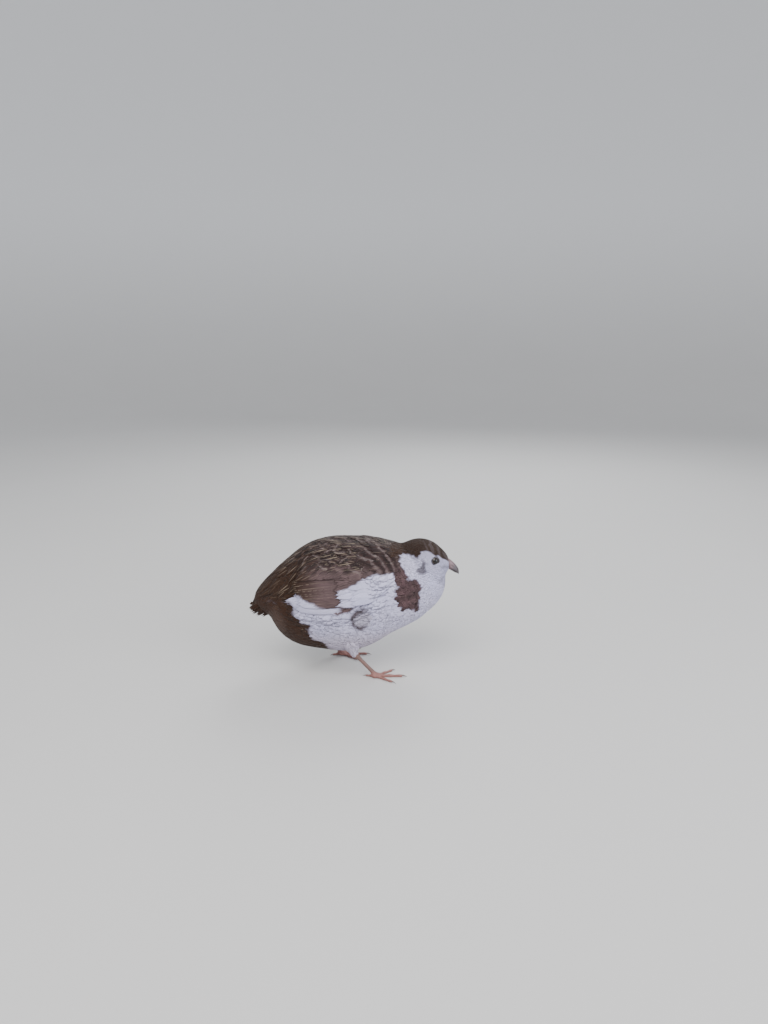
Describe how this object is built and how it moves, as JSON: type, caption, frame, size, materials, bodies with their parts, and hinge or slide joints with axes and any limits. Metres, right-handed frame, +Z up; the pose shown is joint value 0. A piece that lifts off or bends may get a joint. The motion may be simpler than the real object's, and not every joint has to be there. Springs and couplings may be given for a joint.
{
  "type": "coturnix quail",
  "caption": "Life-size still model of a standing pied quail, rounded and short-tailed, with its head low and forward, folded wings and bare feet.",
  "frame": {"origin": "on the floor, under the middle of the bird's length and width", "axes": "+X the way the bird faces, +Y its left side, +Z up"},
  "size_m": [0.1749, 0.0842, 0.114],
  "materials": {
    "brown_feathers": "soft matt brown feathers, streaked buff and dark",
    "white_feathers": "soft matt white feathers",
    "horn": "satin horn",
    "leg_skin": "matt scaled skin",
    "eye": "wet gloss"
  },
  "bodies": {
    "root": {"rump": "brown_feathers", "torso": "white_feathers", "breast": "white_feathers", "neck": "brown_feathers", "head": "white_feathers", "bill_upper": "horn", "bill_lower": "horn", "tail": "brown_feathers", "eye_right": "eye", "wing_right": "brown_feathers", "thigh_right": "white_feathers", "shank_right": "leg_skin", "foot_right": "leg_skin", "toe_inner_right": "leg_skin", "toe_middle_right": "leg_skin", "toe_outer_right": "leg_skin", "toe_hind_right": "leg_skin", "eye_left": "eye", "wing_left": "brown_feathers", "thigh_left": "white_feathers", "shank_left": "leg_skin", "foot_left": "leg_skin", "toe_inner_left": "leg_skin", "toe_middle_left": "leg_skin", "toe_outer_left": "leg_skin", "toe_hind_left": "leg_skin"}
  },
  "joints": []
}
